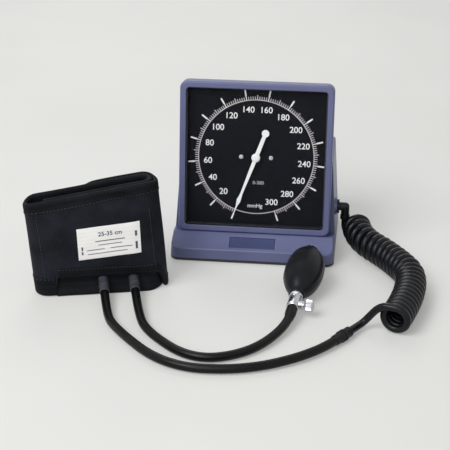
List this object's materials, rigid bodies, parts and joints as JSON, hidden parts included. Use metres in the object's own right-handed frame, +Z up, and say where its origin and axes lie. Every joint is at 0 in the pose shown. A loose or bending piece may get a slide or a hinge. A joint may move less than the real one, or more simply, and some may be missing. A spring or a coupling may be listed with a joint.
{
  "type": "sphygmomanometer",
  "caption": "Desk aneroid blood pressure gauge: square dial on a slate stand with a cuff basket, coiled hose, rolled arm cuff and rubber bulb with chrome release valve.",
  "frame": {"origin": "on the desk under the gauge head, on the underside of the stand's rubber mat", "axes": "+X to the reader's right, +Y away from the reader, +Z up; the dial faces -Y and leans back"},
  "size_m": [0.4121, 0.3626, 0.1862],
  "materials": {
    "slate_plastic": "satin moulded ABS",
    "dark_plastic": "matt moulded ABS",
    "clear_window": "clear acrylic pane",
    "dial_black": "matt printed aluminium",
    "pointer_white": "white painted aluminium",
    "screw_steel": "zinc plated",
    "movement_brass": "bright brass",
    "arbor_steel": "ground steel",
    "capsule_bronze": "pressed bronze foil",
    "foot_rubber": "matt ribbed rubber",
    "hose_rubber": "smooth rubber",
    "bulb_rubber": "fine grained rubber",
    "bladder_rubber": "thin rubber sheet",
    "valve_chrome": "bright chrome plate",
    "ball_steel": "polished steel ball",
    "cuff_cloth": "black woven nylon",
    "label_cloth": "white woven label",
    "hook_nylon": "black hook tape"
  },
  "bodies": {
    "gauge": {"bezel": "slate_plastic", "stand_shell": "slate_plastic", "rear_case": "dark_plastic", "base_plate": "dark_plastic", "window_spacer": "dark_plastic", "name_plate": "dark_plastic", "hose_elbow": "dark_plastic", "elbow_nut": "dark_plastic", "connector_socket": "dark_plastic", "connector_plug": "dark_plastic", "dial_window": "clear_window", "dial_plate": "dial_black", "dial_screws": "screw_steel", "case_screws": "screw_steel", "stand_screws": "screw_steel", "base_screws": "screw_steel", "movement_front_plate": "movement_brass", "movement_back_plate": "movement_brass", "movement_pillars": "movement_brass", "movement_posts": "movement_brass", "dial_posts": "movement_brass", "capsule_stud": "movement_brass", "inlet_pipe": "movement_brass", "hairspring": "arbor_steel", "capsule": "capsule_bronze", "base_mat": "foot_rubber", "coil_hose": "hose_rubber", "cuff_hose": "hose_rubber", "bulb_hose": "hose_rubber", "bulb": "bulb_rubber", "cuff_bladder": "bladder_rubber", "valve_body": "valve_chrome", "intake_valve": "valve_chrome", "intake_stop": "valve_chrome", "cuff_wrap": "cuff_cloth", "cuff_label": "label_cloth", "hook_tape": "hook_nylon"},
    "sector": {"sector_gear": "movement_brass", "sector_arbor": "arbor_steel"},
    "pointer": {"pinion_arbor": "arbor_steel", "pointer": "pointer_white", "pointer_cap": "pointer_white"},
    "rocker": {"rocking_lever": "arbor_steel"},
    "push_pin": {"capsule_pin": "arbor_steel"},
    "release_screw": {"valve_screw": "valve_chrome"},
    "intake_check": {"intake_ball": "ball_steel"},
    "outlet_check": {"outlet_ball": "ball_steel"}
  },
  "joints": [
    {"name": "sector_turn", "type": "hinge", "parent": "gauge", "child": "sector", "pos_m": [0, -0.01302, 0.07599], "axis": [0, -0.9848, 0.1736], "range_deg": [0, 40]},
    {"name": "pointer_turn", "type": "hinge", "parent": "gauge", "child": "pointer", "pos_m": [0, -0.00801, 0.10435], "axis": [0, 0.9848, -0.1736], "range_deg": [0, 320]},
    {"name": "rocker_turn", "type": "hinge", "parent": "gauge", "child": "rocker", "pos_m": [0, 0.00651, 0.07501], "axis": [1, 0, 0], "range_deg": [0, 20]},
    {"name": "capsule_lift", "type": "slide", "parent": "gauge", "child": "push_pin", "axis": [0, -0.9848, 0.1736], "range_m": [0, 0.00274]},
    {"name": "release_turn", "type": "hinge", "parent": "gauge", "child": "release_screw", "pos_m": [0.05286, -0.16326, 0.0129], "axis": [0.9925, -0.1219, 0], "range_deg": [0, 720]},
    {"name": "intake_lift", "type": "slide", "parent": "gauge", "child": "intake_check", "axis": [-0.1207, -0.9829, -0.1392], "range_m": [0, 0.002]},
    {"name": "outlet_lift", "type": "slide", "parent": "gauge", "child": "outlet_check", "axis": [-0.1207, -0.9829, -0.1392], "range_m": [0, 0.002]}
  ],
  "couplings": [
    {"joint": "sector_turn", "follows": "pointer_turn", "ratio": 0.125},
    {"joint": "rocker_turn", "follows": "pointer_turn", "ratio": 0.0625},
    {"joint": "capsule_lift", "follows": "pointer_turn", "m_per_rad": 0.00048987}
  ]
}
